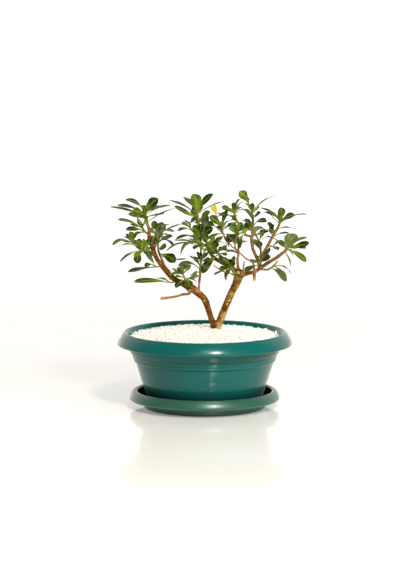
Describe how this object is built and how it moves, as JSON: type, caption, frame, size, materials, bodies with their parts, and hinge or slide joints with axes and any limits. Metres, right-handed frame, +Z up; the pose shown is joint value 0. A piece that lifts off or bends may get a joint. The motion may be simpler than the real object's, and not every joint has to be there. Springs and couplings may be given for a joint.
{
  "type": "pittosporum bonsai",
  "caption": "Two-trunked pittosporum bonsai with whorls of glossy spoon-shaped leaves, in a round teal bowl with a turned-down rim on its saucer, topped with white gravel.",
  "frame": {"origin": "centre of the saucer's flat underside, on the bowl's upright axis", "axes": "+Z up along the bowl's axis, -Y towards the viewer of the front, +X to the right; the left trunk leans to -X and the right one to +X"},
  "size_m": [0.2598, 0.23, 0.2868],
  "materials": {
    "saucer_plastic": "satin moulded plastic, slightly greyer teal than the bowl",
    "pot_plastic": "glossy moulded plastic, dark teal",
    "potting_soil": "moist crumbly soil",
    "white_gravel": "small matt white stones",
    "bark": "orange-brown bark with pale scars",
    "leaf": "glossy leathery green, paler underneath, young ones yellow-green"
  },
  "bodies": {
    "root": {"saucer": "saucer_plastic", "pot": "pot_plastic", "soil": "potting_soil", "gravel": "white_gravel", "wood": "bark", "spray_left_top": "leaf", "spray_left_mid": "leaf", "spray_left_right": "leaf", "spray_left_inner": "leaf", "spray_left_side": "leaf", "spray_left_low": "leaf", "spray_left_lowest": "leaf", "spray_left_back": "leaf", "spray_left_near": "leaf", "spray_knot": "leaf", "spray_centre": "leaf", "spray_centre_front": "leaf", "spray_centre_back": "leaf", "spray_third": "leaf", "spray_mid": "leaf", "spray_right_top": "leaf", "spray_right_fan": "leaf", "spray_right_tip": "leaf", "spray_right_low": "leaf", "spray_right_mid": "leaf", "spray_right_back": "leaf", "spray_right_near": "leaf", "spray_knuckle": "leaf"}
  },
  "joints": []
}
